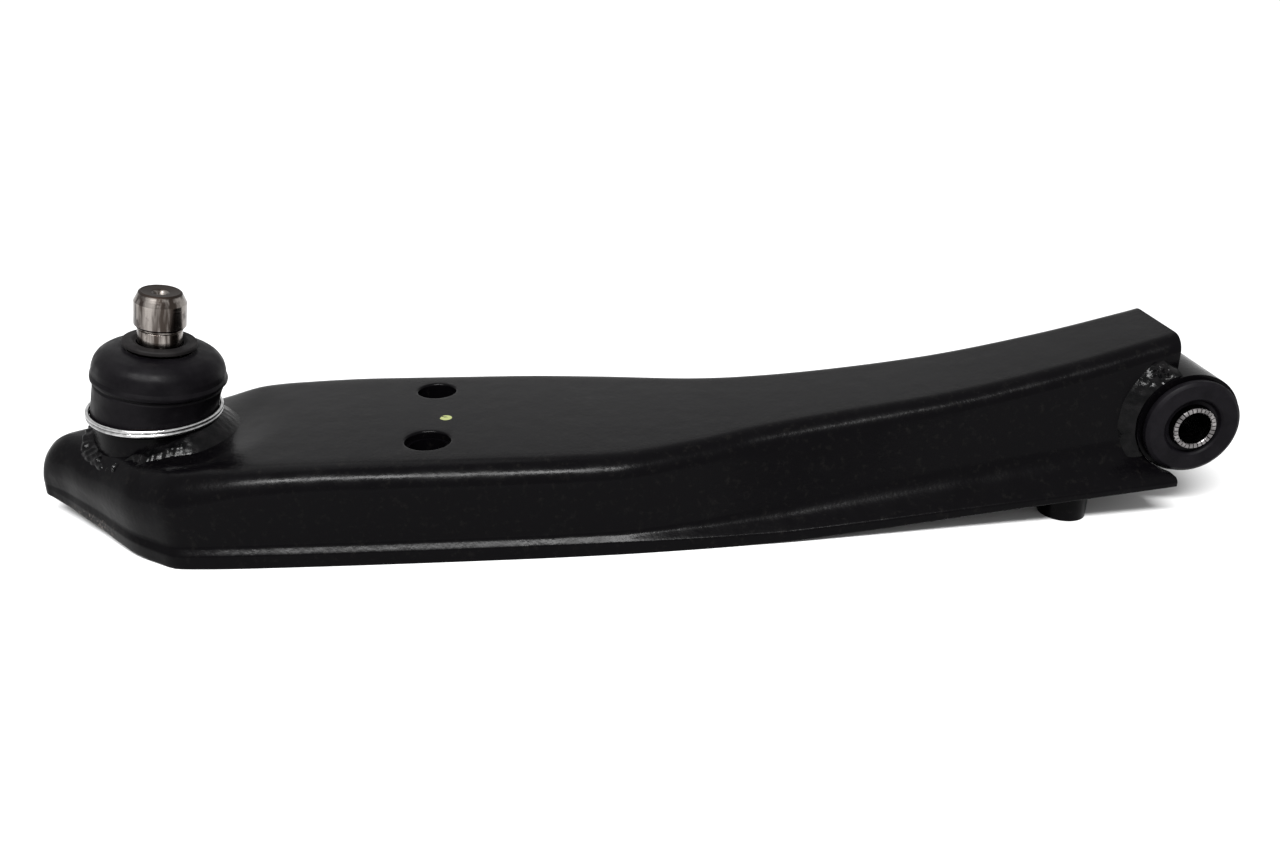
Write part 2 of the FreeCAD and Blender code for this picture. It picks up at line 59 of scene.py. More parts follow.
HOUSING_AXIS = Vector((math.sin(HOUSING_LEAN), 0, math.cos(HOUSING_LEAN)))
SHEET = 2.6
TUBE_RADIUS = 18.7
HOUSING_RADIUS = 20.6

# Channel sections, outermost first: x, half width at the top, top height, corner radius,
# half width at the rim, rim height, lip height, shoulder step, shoulder height, sweep radius.
SECTIONS = (
    (-408.5, 4.6, 18.0, 4.0, 4.6, 9.0, 2.5, 0.1, 4.0, 1.5),
    (-406.0, 7.0, 24.0, 6.0, 5.6, 8.4, 2.8, 0.1, 4.6, 2.0),
    (-402.5, 10.0, 28.0, 9.0, 7.8, 7.5, 3.2, 0.3, 5.2, 2.0),
    (-398.0, 12.8, 30.6, 11.5, 10.8, 6.3, 3.5, 0.5, 5.8, 2.5),
    (-392.0, 17.2, 31.8, 13.5, 15.8, 5.0, 3.8, 0.7, 6.3, 2.5),
    (-384.0, 23.8, 32.2, 15.5, 22.4, 3.6, 4.0, 0.9, 6.7, 2.5),
    (-376.0, 30.6, 32.2, 16.5, 29.8, 2.2, 4.3, 1.2, 7.0, 3.0),
    (-369.0, 36.6, 32.1, 17.0, 35.9, 1.2, 4.5, 1.5, 7.2, 3.0),
    (-361.5, 41.2, 32.1, 16.0, 40.6, 0.5, 4.6, 1.8, 7.3, 3.0),
    (-352.0, 44.2, 32.2, 14.0, 45.2, 0.0, 4.7, 2.0, 7.4, 3.0),
    (-326.0, 45.0, 33.3, 9.5, 46.4, 0.0, 4.8, 2.3, 7.5, 3.0),
    (-295.0, 45.0, 34.0, 8.5, 46.6, 0.0, 4.8, 2.3, 7.5, 3.0),
    (-240.0, 44.6, 34.0, 8.5, 46.2, 0.0, 4.8, 2.3, 7.5, 3.0),
    (-208.0, 42.4, 33.8, 8.5, 45.3, 0.0, 4.6, 2.6, 7.5, 3.5),
    (-180.0, 35.0, 34.9, 8.5, 43.6, 0.0, 4.3, 4.0, 7.7, 5.0),
    (-154.0, 27.8, 37.5, 8.0, 41.6, 0.3, 4.0, 5.8, 8.4, 8.0),
    (-122.0, 24.2, 41.2, 7.5, 39.8, 2.6, 3.6, 8.0, 9.2, 10.0),
    (-85.0, 22.6, 46.4, 7.0, 38.2, 6.4, 3.1, 10.4, 9.8, 12.0),
    (-42.0, 20.8, 55.6, 6.8, 36.6, 10.8, 2.6, 12.6, 10.2, 13.0),
    (-4.0, 19.2, 65.8, 6.5, 34.5, 14.1, 2.3, 14.0, 10.4, 14.0),
)
COLUMNS = tuple(zip(*SECTIONS))
TIP, END = SECTIONS[0][0], SECTIONS[-1][0]


# ---------------------------------------------------------------- geometry helpers

def placed(origin, axis):
    """Matrix of a piece whose own Z axis runs along axis from origin (millimetres)."""
    turn = Vector((0, 0, 1)).rotation_difference(Vector(axis))
    return Matrix.Translation(Vector(origin) * MM) @ turn.to_matrix().to_4x4()


def piece(name, points, faces, place=Matrix.Identity(4), sharp=35.0):
    """A mesh piece from points in millimetres; edges sharper than sharp degrees stay crisp."""
    mesh = bpy.data.meshes.new(name)
    mesh.from_pydata([Vector(p) * MM for p in points], [], faces)
    work = bmesh.new()
    work.from_mesh(mesh)
    bmesh.ops.remove_doubles(work, verts=work.verts, dist=1e-7)
    bmesh.ops.recalc_face_normals(work, faces=work.faces)
    work.to_mesh(mesh)
    work.free()
    obj = bpy.data.objects.new(name, mesh)
    obj.matrix_world = place
    bpy.context.scene.collection.objects.link(obj)
    smooth(obj, sharp)
    return obj


def smooth(obj, sharp):
    """Smooth shading, with the edges sharper than the angle marked."""
    work = bmesh.new()
    work.from_mesh(obj.data)
    for face in work.faces:
        face.smooth = True
    for edge in work.edges:
        edge.smooth = len(edge.link_faces) == 2 and edge.calc_face_angle() < math.radians(sharp)
    work.to_mesh(obj.data)
    work.free()


def grid(rows, columns, round_rows=False, round_columns=False):
    """Quads of a grid of points stored row by row, closed on itself where asked."""
    faces = []
    for i in range(rows if round_rows else rows - 1):
        for j in range(columns if round_columns else columns - 1):
            k, m = (i + 1) % rows, (j + 1) % columns
            faces.append((i * columns + j, i * columns + m, k * columns + m, k * columns + j))
    return faces


def fillet(before, corner, after, radius, steps):
    """Points of the arc that rounds a corner of a flat outline."""
    before, corner, after = Vector(before), Vector(corner), Vector(after)
    back, ahead = (before - corner).normalized(), (after - corner).normalized()
    half = back.angle(ahead) / 2
    reach = min(radius / math.tan(half), 0.98 * (before - corner).length)
    radius = reach * math.tan(half)
    centre = corner + (back + ahead).normalized() * (radius / math.sin(half))
    start, end = corner + back * reach - centre, corner + ahead * reach - centre
    turn = start.angle_signed(end)
    points = []
    for k in range(steps + 1):
        c, s = math.cos(-turn * k / steps), math.sin(-turn * k / steps)
        points.append(centre + Vector((start.x * c - start.y * s, start.x * s + start.y * c)))
    return points


def outline(corners, radii, arcs, runs):
    """An open outline: radii and arc steps for each inner corner, splits for each run."""
    points = [Vector(corners[0])]
    for i in range(1, len(corners)):
        stop = [Vector(corners[i])]
        if i < len(corners) - 1 and radii[i - 1]:
            stop = fillet(corners[i - 1], corners[i], corners[i + 1], radii[i - 1], arcs[i - 1])
        start = points[-1]
        for k in range(1, runs[i - 1]):
            points.append(start.lerp(stop[0], k / runs[i - 1]))
        points.extend(stop)
    return points


def eased(corners, radius, steps=3):
    """An outline with the same small radius at every inner corner."""
    inner = len(corners) - 2
    return outline(corners, [radius] * inner, [steps] * inner, [1] * (inner + 1))


def turned(name, profile, place, count=128, closed=False, sharp=35.0, shape=None):
    """Revolves (radius, height) points about the piece's own Z; shape may move each point."""
    points = []
    for radius, height in profile:
        for k in range(count):
            angle = 2 * math.pi * k / count
            point = Vector((radius * math.cos(angle), radius * math.sin(angle), height))
            points.append(shape(point, angle, radius, height) if shape else point)
    faces = grid(len(profile), count, closed, True)
    return piece(name, points, faces, place, sharp)


def smoothstep(low, high, value):
    t = min(max((value - low) / (high - low), 0.0), 1.0)
    return t * t * (3 - 2 * t)


def ripple(x, y, z, size):
    """Soft noise between about -1 and 1 with lumps of the given size."""
    return noise.noise(Vector((x, y, z)) / size) * 1.6


# ---------------------------------------------------------------- pressed channel

def section(x):
    """Section sizes at x, by a monotone cubic through the drawn sections."""
    xs = COLUMNS[0]
    i = max([k for k in range(len(xs) - 1) if xs[k] <= x] or [0])
    return [x] + [cubic(xs, column, i, x) for column in COLUMNS[1:]]


def cubic(xs, ys, i, x):
    """Value at x of the monotone cubic through (xs, ys), in its piece number i."""
    def slope(k):
        return (ys[k + 1] - ys[k]) / (xs[k + 1] - xs[k])

    def tangent(k):
        if k == 0 or k == len(xs) - 1:
            return slope(min(k, len(xs) - 2))
        before, after = slope(k - 1), slope(k)
        if before * after <= 0:
            return 0.0
        left, right = xs[k] - xs[k - 1], xs[k + 1] - xs[k]
        w1, w2 = 2 * right + left, right + 2 * left
        return (w1 + w2) / (w1 / before + w2 / after)

    step = xs[i + 1] - xs[i]
    t = (x - xs[i]) / step
    rest = 1 - t
    return (ys[i] * (1 + 2 * t) * rest * rest + ys[i + 1] * t * t * (3 - 2 * t)
            + step * t * rest * (tangent(i) * rest - tangent(i + 1) * t))


def shifted(corners, inset):
    """Each side of an open outline moved inward and met again."""
    sides = []
    for start, end in zip(corners, corners[1:]):
        along = (end - start).normalized()
        sides.append((start + Vector((-along.y, along.x)) * inset, along))
    points = [sides[0][0]]
    for (p, u), (q, v) in zip(sides, sides[1:]):
        reach = ((q.x - p.x) * v.y - (q.y - p.y) * v.x) / (u.x * v.y - u.y * v.x)
        points.append(p + u * reach)
    return points + [Vector((0, corners[-1].y - inset))]


EDGE = 0.45      # rounding of the cut edges of the sheet
LIP_RADIUS = 1.6


def half_section(x, inset, pull=0.0):
    """Half of a section as (y, z), rim to top centre; pull shrinks it to round the nose."""
    size = section(x)
    _, top_half, top, corner, rim_half, rim, lip, step, rise, sweep = size
    top_half, top, rim_half = top_half - pull, top - pull, rim_half - pull
    half = [Vector((rim_half, rim)), Vector((rim_half, rim + lip)),
            Vector((rim_half - step, rim + rise)), Vector((top_half, top)), Vector((0, top))]
    half = shifted(half, inset)
    half[0].y = rim
    toward = 0.7 if inset > SHEET / 2 else -0.7
    start = Vector((half[0].x + toward, rim))
    radii = [EDGE, max(LIP_RADIUS - inset, 0.4), sweep + inset, max(corner - inset, 1.2)]
    radii[3] = min(radii[3], max(half[3].x - 0.2, 0.3))
    points = outline([start] + half, radii, (3, 5, 9, 12), (1, 4, 3, 8, 12))
    return [Vector((x, p.x, p.y + FLOOR)) for p in points]


DISH_DEPTH, DISH_FLAT = 1.5, 23.0
DISH_REACH_IN, DISH_REACH_OUT = 46.0, 36.0
FAR_EDGE_DROP, FAR_EDGE_X = 2.6, -372.0


def dished(point):
    """Lowers the top round the ball joint, and the far edge beside it a little more."""
    centre = on_housing(BALL.z + 8).x
    away = math.hypot(point.x - centre, point.y)
    reach = DISH_REACH_IN if point.x > centre else DISH_REACH_OUT
    height = smoothstep(14.0, 27.0, point.z - FLOOR)
    point.z -= DISH_DEPTH * (1 - smoothstep(DISH_FLAT, reach, away)) * height
    along = abs(point.x - FAR_EDGE_X)
    drop = FAR_EDGE_DROP * smoothstep(14.0, 38.0, point.y)
    point.z -= drop * (1 - smoothstep(14.0, 36.0, along)) * height
    return point


def on_housing(z):
    """The point of the housing axis at a height."""
    return BALL + HOUSING_AXIS * ((z - BALL.z) / HOUSING_AXIS.z)


def skin_stations():
    """(x, pull) of each outer station: a rounded nose, then even steps to the cut end."""
    nose = 2.2
    stations = []
    for k in range(6):
        turn = math.pi / 2 * k / 5
        stations.append((TIP + nose * (1 - math.cos(turn)), nose * (1 - math.sin(turn))))
    x = stations[-1][0]
    step = 0.8
    while x + step < END - 2.0:
        x += step
        stations.append((x, 0.0))
        step = min(step * 1.05, 2.4)
    return stations


def arch(x, inset, pull=0.0):
    """A whole section: near rim, over the top, far rim."""
    half = half_section(x, inset, pull)
    near = [Vector((p.x, -p.y, p.z)) for p in half]
    return [dished(p) for p in near + half[-2::-1]]


def make_skin():
    """The pressed channel as one closed sheet, cut for the joints and the bolts."""
    stations = skin_stations()
    outer = [arch(x, 0.0, pull) for x, pull in stations]
    share = (END - TIP - SHEET) / (END - TIP)
    inner = [arch(TIP + SHEET + (x - TIP) * share, SHEET) for x, _ in stations]
    for back, inset in ((0.45, 0.0), (0.13, 0.13), (0.0, 0.45)):
        outer.append([Vector((END - back, p.y, p.z)) for p in arch(END, inset)])
        inner.append([Vector((END - back, p.y, p.z)) for p in arch(END, SHEET - inset)])
    rows, columns = len(outer), len(outer[0])
    points = [p for row in outer + inner for p in row]
    total = rows * columns
    faces = grid(rows, columns)
    faces += [tuple(total + i for i in reversed(f)) for f in grid(rows, columns)]
    for i in range(rows - 1):
        for j in (0, columns - 1):
            a, b = i * columns + j, (i + 1) * columns + j
            faces.append((a, b, total + b, total + a))
    last = (rows - 1) * columns
    for j in range(columns - 1):
        faces.append((last + j, last + j + 1, total + last + j + 1, total + last + j))
    for base in (0, total):
        for j in range(columns // 2):
            ladder = [base + j, base + j + 1, base + columns - 2 - j, base + columns - 1 - j]
            faces.append(tuple(dict.fromkeys(ladder)))
    faces.append((0, columns - 1, total + columns - 1, total))
    skin = piece("arm_skin", points, faces)
    cut(skin, bore_tool(HOUSING_RADIUS + 0.1, placed(on_housing(-10), HOUSING_AXIS), 70))
    cut(skin, bore_tool(TUBE_RADIUS + 0.08, placed((0, 0, 0), (0, 1, 0)), 120))
    for radius, y in ((7.8, -21.2), (7.0, 23.8)):
        cut(skin, hole_tool(radius, -271.0, y))
    smooth(skin, 32)
    return skin


def bore_tool(radius, place, length):
    """A cylinder that cuts a round hole."""
    profile = [(0, -length / 2), (radius, -length / 2), (radius, length / 2), (0, length / 2)]
    return turned("tool", profile, place, 160)


def hole_tool(radius, x, y):
    """A punched hole: rounded over at the top face, a slight burr flare below."""
    top = section(x)[2] + FLOOR
    flare = [(radius + 0.9 * (1 - math.cos(a)), top - 0.9 * (1 - math.sin(a)))
             for a in (math.radians(d) for d in range(0, 91, 15))]
    profile = [(0, top - 12), (radius, top - 12)] + flare + [(radius + 0.9, top + 6), (0, top + 6)]
    return turned("tool", profile, Matrix.Translation(Vector((x, y, 0)) * MM), 96)


def cut(obj, tool):
    """Takes a tool away from a piece and deletes it."""
    modifier = obj.modifiers.new("cut", "BOOLEAN")
    modifier.object = tool
    modifier.solver = "EXACT"
    bake(obj)
    bpy.data.objects.remove(tool)


def bake(obj):
    """Applies the modifiers of a piece to its mesh."""
    bpy.context.view_layer.update()
    made = obj.evaluated_get(bpy.context.evaluated_depsgraph_get())
    mesh = bpy.data.meshes.new_from_object(made)
    obj.modifiers.clear()
    obj.data = mesh


def top_height(x, y):
    """Height of the channel's outer face over (x, y)."""
    half = [dished(p) for p in half_section(x, 0.0)][9:]
    for low, high in zip(half, half[1:]):
        if high.y <= abs(y) <= low.y:
            share = (low.y - abs(y)) / max(low.y - high.y, 1e-6)
            return low.z + (high.z - low.z) * share
    return half[-1].z if abs(y) < half[-1].y + 1e-6 else half[0].z


def wall_half(x, z):
    """Half width of the channel's outer face at a height."""
    half = half_section(min(x, END), 0.0)
    for low, high in zip(half, half[1:]):
        if low.z <= z <= high.z:
            share = (z - low.z) / max(high.z - low.z, 1e-6)
            return low.y + (high.y - low.y) * share
    return half[-1].y


# ---------------------------------------------------------------- welds

def make_housing_weld():
    """Bead round the ball housing: lumpy at the front, a wide sloping fillet inboard."""
    count, steps = 260, 20
    points = []
    for k in range(count):
        angle = 2 * math.pi * k / count
        turn = (math.degrees(angle) + 180) % 360 - 180
        ahead = Vector((math.cos(angle), math.sin(angle), 0))
        facet = smoothstep(-66, -44, turn) * (1 - smoothstep(24, 62, turn))
        rough = 1 - 0.85 * facet
        wobble = ripple(ahead.x * 20, ahead.y * 20, 0, 5.0)
        high = 3.8 + 2.2 * facet + 0.7 * wobble * rough
        wide = 4.4 + 3.2 * facet + 0.9 * ripple(ahead.x * 20, ahead.y * 20, 9, 6.0) * rough
        wide += 1.6 * math.exp(-((turn + 98) / 22) ** 2)
        base = on_housing(BALL.z + 8)
        foot = Vector((base.x, 0, 0)) + ahead * (HOUSING_RADIUS + wide)
        foot.z = top_height(foot.x, foot.y) - 0.5
        head = on_housing(foot.z + 0.5 + high)
        head = Vector((head.x, 0, head.z)) + ahead * (HOUSING_RADIUS - 0.25)
        for m in range(steps + 1):
            t = m / steps
            spot = head.lerp(foot, t)
            arc = math.sin(math.pi * t)
            lift = arc * (1.15 - 0.85 * facet)
            lift += 0.42 * ripple(spot.x, spot.y, spot.z, 2.0) * arc * rough
            lift += 0.26 * math.sin(angle * 46 + 5 * t * t) * arc * rough
            spot += (ahead + Vector((0, 0, 1))) * 0.707 * lift
            spot += crescent(turn, t)
            points.append(spot)
        points.append(foot - Vector((0, 0, 1.6)) - ahead * 0.5)
        points.append(head - Vector((0, 0, high + 2.4)) - ahead * 0.2)
    return piece("housing_bead", points, grid(count, steps + 3, True, True), sharp=50)


def crescent(turn, t):
    """The raised rim of a stop crater in the bead, on the near side."""
    across = (turn + 98) / 17
    along = (t - 0.5) / 0.44
    away = math.hypot(across, along)
    rim = math.exp(-((away - 0.8) / 0.15) ** 2) * smoothstep(-0.9, 0.2, 0.35 - along)
    return Vector((0, -0.6, 1.0)) * (1.2 * rim - 0.7 * math.exp(-(away / 0.5) ** 2))


def make_pivot_weld(name, side):
    """Fillet round the pivot tube where it leaves the wall: a smooth collar with ripples."""
    count, steps = 130, 16
    low, high = math.radians(-62), math.radians(74)
    points = []
    for k in range(count):
        share = k / (count - 1)
        angle = low + (high - low) * share
        ahead = Vector((-math.cos(angle), 0, math.sin(angle)))
        fade = min(smoothstep(0, 0.07, share), smoothstep(1.0, 0.93, share))
        wobble = ripple(ahead.x * 20, side * 5, ahead.z * 20, 5.5)
        splash = math.exp(-((math.degrees(angle) - 56) / 9) ** 2)
        wide = (5.6 + 0.25 * wobble + 1.0 * splash) * (0.35 + 0.65 * fade)
        foot = ahead * (TUBE_RADIUS + wide)
        foot.x = min(foot.x, END - 0.4)
        foot.y = min(wall_half(foot.x, foot.z), 25.2) - 0.4
        tip = ahead * (TUBE_RADIUS + 0.12)
        tip.x = min(tip.x, END - 0.4)
        tip.y = 24.9 + 0.25 * wobble
        if tip.x < END - 0.5:
            tip.y = max(tip.y, foot.y - 1.0)
        for m in range(steps + 1):
            t = m / steps
            spot = tip.lerp(foot, t)
            arc = math.sin(math.pi * t)
            lift = 0.35 * arc * (1 - 0.8 * splash)
            lift += 0.04 * math.sin(angle * 38 + 4 * t) * arc
            lift += splash * arc * (0.5 + 1.3 * ripple(spot.x, spot.y, spot.z, 1.4))
            spot += (ahead + Vector((0, 1, 0))) * 0.707 * lift * (0.3 + 0.7 * fade)
            points.append(spot)
        points.append(Vector((foot.x, foot.y - 1.6, foot.z)) - ahead * 0.6)
        points.append(Vector((tip.x, min(foot.y, 20) - 1.2, tip.z)) + ahead * 0.03)
    if side < 0:
        points = [Vector((p.x, -p.y, p.z)) for p in points]
    columns = steps + 3
    faces = grid(count, columns, False, True)
    faces += [tuple(range(columns)), tuple((count - 1) * columns + j for j in range(columns))]
    return piece(name, points, faces, sharp=50)


# ---------------------------------------------------------------- ball joint

def make_boot():
    """Moulded rubber boot, its foot on the housing and its top square to the stud."""
    outer = eased([(19.3, 11.9), (21.3, 11.9), (20.95, 14.6), (20.85, 17.4), (20.95, 21.0)], 0.7)
    outer += outline([(21.0, 22.6), (21.25, 24.2), (20.85, 24.9), (21.2, 25.6), (22.35, 26.3),
                      (22.5, 27.3), (21.9, 28.6), (21.7, 30.5), (21.0, 33.0), (19.6, 35.0),
                      (17.6, 36.4), (15.1, 37.2), (13.2, 37.6), (11.0, 37.6), (10.8, 35.9)],
                     [0.3, 0.3, 0.3, 0.35, 0.5, 0.7, 5, 5, 5, 5, 5, 0.5, 0.3],
                     [3, 3, 3, 3, 4, 4, 4, 4, 4, 4, 4, 3, 3], [1] * 14)
    inner = outline([(10.8, 35.2), (14.6, 34.4), (17.3, 33.0), (19.3, 30.8), (20.1, 28.4),
                     (20.0, 26.6), (19.35, 24.4), (19.28, 18.0)], [2] * 6, [3] * 6, [1] * 7)

    def lean(point, angle, radius, height):
        share = smoothstep(12, 27, height)
        axis = HOUSING_AXIS.lerp(STUD_AXIS, share).normalized()
        across = Vector((0, 1, 0)).cross(axis).normalized()
        soft = smoothstep(18, 22, height) * smoothstep(37.6, 36, height)
        outside = smoothstep(20.2, 20.8, radius) if height < 30 else 1.0
        swell = 0.12 * ripple(math.cos(angle) * 9, math.sin(angle) * 9, height * 0.7, 6.0)
        swell += 0.3 * pinch(angle, height, 196, 26.6) + 0.4 * pinch(angle, height, -8, 26.9)
        swell += 0.2 * pinch(angle, height, 214, 31.0)
        radius += soft * outside * swell
        return (BALL + axis * height + across * radius * math.cos(angle)
                + Vector((0, 1, 0)) * radius * math.sin(angle))

    return turned("boot", outer + inner, Matrix.Identity(4), 180, True, 50, lean)


def pinch(angle, height, where, level):
    """A small dent in the boot at an angle (degrees) and a height."""
    across = (math.degrees(angle) - where + 180) % 360 - 180
    return -math.exp(-(across / 9) ** 2 - ((height - level) / 1.6) ** 2)


def make_clamp():
    """Bright spring wire wound a little over twice round the foot of the boot."""
    wire, loops, count, sides = 0.72, 2.02, 260, 14
    points = []
    for k in range(count):
        share = k / (count - 1)
        angle = math.radians(150) + 2 * math.pi * loops * share
        radius = 21.95 + 0.1 * math.sin(3 * angle) + (0.9 if share > 0.985 else 0)
        height = 13.0 + 1.45 * (loops * share - 0.05 * math.sin(angle + 1.2)) * 0.93
        ahead = Vector((math.cos(angle), math.sin(angle), 0))
        for m in range(sides):
            turn = 2 * math.pi * m / sides
            points.append(ahead * (radius + wire * math.cos(turn))
                          + Vector((0, 0, height + wire * math.sin(turn))))
    faces = grid(count, sides, False, True)
    faces += [tuple(range(sides)), tuple((count - 1) * sides + m for m in range(sides))]
    return piece("clamp_wire", points, faces, placed(BALL, HOUSING_AXIS), 60)


def make_stud():
    """Ball stud: ball, waist, and a straight ground head with a chamfer and a centre drilling."""
    ball = [(0, -11.1)] + [(12.5 * math.cos(math.radians(d)), 12.5 * math.sin(math.radians(d)))
                           for d in range(-62, 56, 4)]
    shank = eased([(6.5, 10.7), (6.5, 22.0), (7.3, 25.0), (7.3, 44.4), (6.95, 44.7),
                   (6.95, 45.5), (7.95, 45.5), (8.5, 46.2), (8.5, 54.3), (6.95, 57.5),
                   (6.4, 57.95), (5.8, 57.75), (3.1, 57.5), (2.5, 57.2), (1.5, 56.0), (0, 55.9)],
                  0.22)
    return turned("stud", ball + shank, placed(BALL, STUD_AXIS), 144, False, 24)


def make_retainer():
    """Rubber-covered ring that closes the boot on the stud."""
    ring = eased([(7.7, 39.6), (7.7, 38.45), (11.9, 38.45), (12.25, 38.8), (12.25, 39.75),
                  (11.85, 40.2), (9.1, 40.3), (8.6, 40.0), (7.8, 39.2), (7.7, 39.6)], 0.25)
    return turned("retainer_ring", ring[:-1], placed(BALL, STUD_AXIS), 128, True, 40)


# ---------------------------------------------------------------- pivot bush

def make_rubber():
    """Bonded rubber: flanges with rounded edges outside the tube, a recess round the sleeve."""
    end = eased([(7.85, 26.9), (8.0, 28.2), (9.6, 28.3), (10.3, 29.6), (11.0, 30.15),
                 (16.0, 30.2), (17.35, 29.3), (17.4, 27.6), (16.9, 26.6), (15.8, 26.4),
                 (14.9, 26.1)], 0.5)
    other = [Vector((p.x, -p.y)) for p in reversed(end)]
    return turned("rubber_bush", other + end, placed((0, 0, 0), (0, 1, 0)), 128, True, 40)


def make_sleeve():
    """Inner sleeve with radial teeth rolled into both end faces."""
    teeth, part = 28, 8
    count = teeth * part
    rows = [(7.8, -30.8), (7.8, 30.8), (7.6, 31.15), (6.95, 31.2), (6.3, 31.15), (6.05, 30.8),
            (6.05, -30.8), (6.3, -31.15), (6.95, -31.2), (7.6, -31.15)]

    def tooth(point, angle, radius, height):
        if abs(height) > 31:
            wave = (angle * teeth / (2 * math.pi)) % 1.0
            depth = 0.55 * (1 - smoothstep(0.0, 0.3, abs(wave - 0.5) * 2))
            point.z -= math.copysign(depth, height)
        return point

    return turned("serrated_sleeve", rows, placed((0, 0, 0), (0, 1, 0)), count, True, 28, tooth)


# ---------------------------------------------------------------- materials

class Shader:
    """A Principled material with short ways to add procedural detail in object space."""

    def __init__(self, name, **fixed):
        self.material = bpy.data.materials.new(name)
        self.material.use_nodes = True
        self.tree = self.material.node_tree
        self.surface = self.tree.nodes["Principled BSDF"]
        self.place = self.node("ShaderNodeTexCoord").outputs["Object"]
        for key, value in fixed.items():
            self.surface.inputs[key.replace("_", " ").title().replace("Ior", "IOR")
                                ].default_value = value

    def node(self, kind, inputs=None, **props):
        made = self.tree.nodes.new(kind)
        for key, value in props.items():
            setattr(made, key, value)
        for key, value in (inputs or {}).items():
            if isinstance(value, bpy.types.NodeSocket):
                self.tree.links.new(value, made.inputs[key])
            else:
                made.inputs[key].default_value = value
        return made

    def noise(self, size, detail=3.0, rough=0.5, place=None):
        """Noise from 0 to 1 whose lumps measure about size millimetres."""
        made = self.node("ShaderNodeTexNoise", {
            "Vector": place or self.place, "Scale": 1 / (size * MM), "Detail": detail,
            "Roughness": rough})
        return made.outputs["Fac"]

    def span(self, value, low, high, to_low=0.0, to_high=1.0):
        made = self.node("ShaderNodeMapRange", {
            "Value": value, "From Min": low, "From Max": high, "To Min": to_low,
            "To Max": to_high}, interpolation_type="SMOOTHSTEP")
        return made.outputs["Result"]

    def maths(self, operation, a, b=0.0):
        made = self.node("ShaderNodeMath", {0: a, 1: b}, operation=operation)
        return made.outputs[0]

    def blend(self, share, one, other):
        """Colour from one to other."""
        made = self.node("ShaderNodeMix", {0: share, 6: colour(one), 7: colour(other)},
                         data_type="RGBA")
        return made.outputs[2]

    def near(self, centre, reach, soft):
        """1 inside reach millimetres of a point, falling to 0 over soft."""
        away = self.node("ShaderNodeVectorMath", {
            0: self.place, 1: Vector(centre) * MM}, operation="DISTANCE").outputs["Value"]
        return self.span(away, (reach + soft) * MM, reach * MM)

    def axis(self, index):
        return self.node("ShaderNodeSeparateXYZ", {0: self.place}).outputs[index]

    def bump(self, height, depth, under=None):
        """Relief of depth millimetres for a height from 0 to 1."""
        inputs = {"Height": height, "Distance": depth * MM, "Strength": 1.0}
        if under:
            inputs["Normal"] = under
        return self.node("ShaderNodeBump", inputs).outputs["Normal"]

    def set(self, **sockets):
        for key, value in sockets.items():
            self.tree.links.new(value, self.surface.inputs[key.replace("_", " ")])
        return self.material


def colour(value):
    if isinstance(value, bpy.types.NodeSocket):
        return value
    return (value[0], value[1], value[2], 1.0)


def coat_material():
    """Satin black electro-coat: orange peel, faint dust, chipped at the nose, a paint mark."""
    s = Shader("black_coat", specular_ior_level=0.04)
    peel = s.noise(1.3, 2.0)
    drift = s.noise(9.0, 3.0)
    dust = s.span(s.noise(2.6, 6.0, 0.65), 0.52, 0.8)
    base = s.blend(dust, (0.0007, 0.0006, 0.0008), (0.0030, 0.0027, 0.0026))
    low = s.span(s.axis(2), -0.026, -0.031)
    nose = s.span(s.axis(0), -0.372, -0.392)
    chips = s.span(s.noise(1.1, 5.0, 0.7), 0.56, 0.62)
    worn = s.maths("MULTIPLY", s.maths("MULTIPLY", low, nose), chips)
    base = s.blend(worn, base, (0.11, 0.09, 0.08))
    scuff = s.maths("MULTIPLY", s.near((-119.5, -36.6, -20.5), 1.6, 1.2),
                    s.span(s.noise(0.6, 4.0, 0.6), 0.48, 0.58))
    base = s.blend(scuff, base, (0.10, 0.10, 0.10))
    mark = s.maths("MULTIPLY", s.near((-266.0, -2.2, -1.6), 1.5, 1.3),
                   s.span(s.noise(2.2, 2.0), 0.2, 0.45))
    mark = s.span(mark, 0.35, 0.6)
    base = s.blend(mark, base, (0.16, 0.175, 0.075))
    rough = s.span(drift, 0.3, 0.7, 0.19, 0.27)
    rough = s.maths("MAXIMUM", rough, s.maths("MULTIPLY", s.maths("MAXIMUM", worn, mark), 0.6))
    relief = s.bump(drift, 0.12)
    relief = s.bump(peel, 0.05, relief)
    relief = s.bump(mark, 0.08, relief)
    return s.set(Base_Color=base, Roughness=rough, Normal=relief)


def weld_material():
    s = Shader("weld_coat", specular_ior_level=0.07)
    lumps = s.noise(1.2, 4.0, 0.6)
    base = s.blend(s.span(s.noise(4.0, 5.0), 0.4, 0.7), (0.0006, 0.0006, 0.0007),
                   (0.0022, 0.0020, 0.0022))
    rough = s.span(s.noise(2.5, 3.0), 0.35, 0.65, 0.14, 0.30)
    relief = s.bump(lumps, 0.10)
    relief = s.bump(s.noise(4.5, 2.0), 0.22, relief)
    return s.set(Base_Color=base, Roughness=rough, Normal=relief)


def rubber_material(name, dark, light, rough_low, rough_high, grain):
    s = Shader(name, specular_ior_level=0.038)
    base = s.blend(s.span(s.noise(9.0, 5.0, 0.6), 0.35, 0.7), dark, light)
    bloom = s.span(s.noise(1.6, 6.0, 0.7), 0.55, 0.8)
    base = s.blend(s.maths("MULTIPLY", bloom, 0.5), base, tuple(v * 1.7 for v in light))
    rough = s.span(s.noise(5.0, 4.0), 0.3, 0.7, rough_low, rough_high)
    relief = s.bump(s.noise(0.45, 3.0), grain)
    relief = s.bump(s.noise(6.0, 3.0), 0.12, relief)
    return s.set(Base_Color=base, Roughness=rough, Normal=relief)


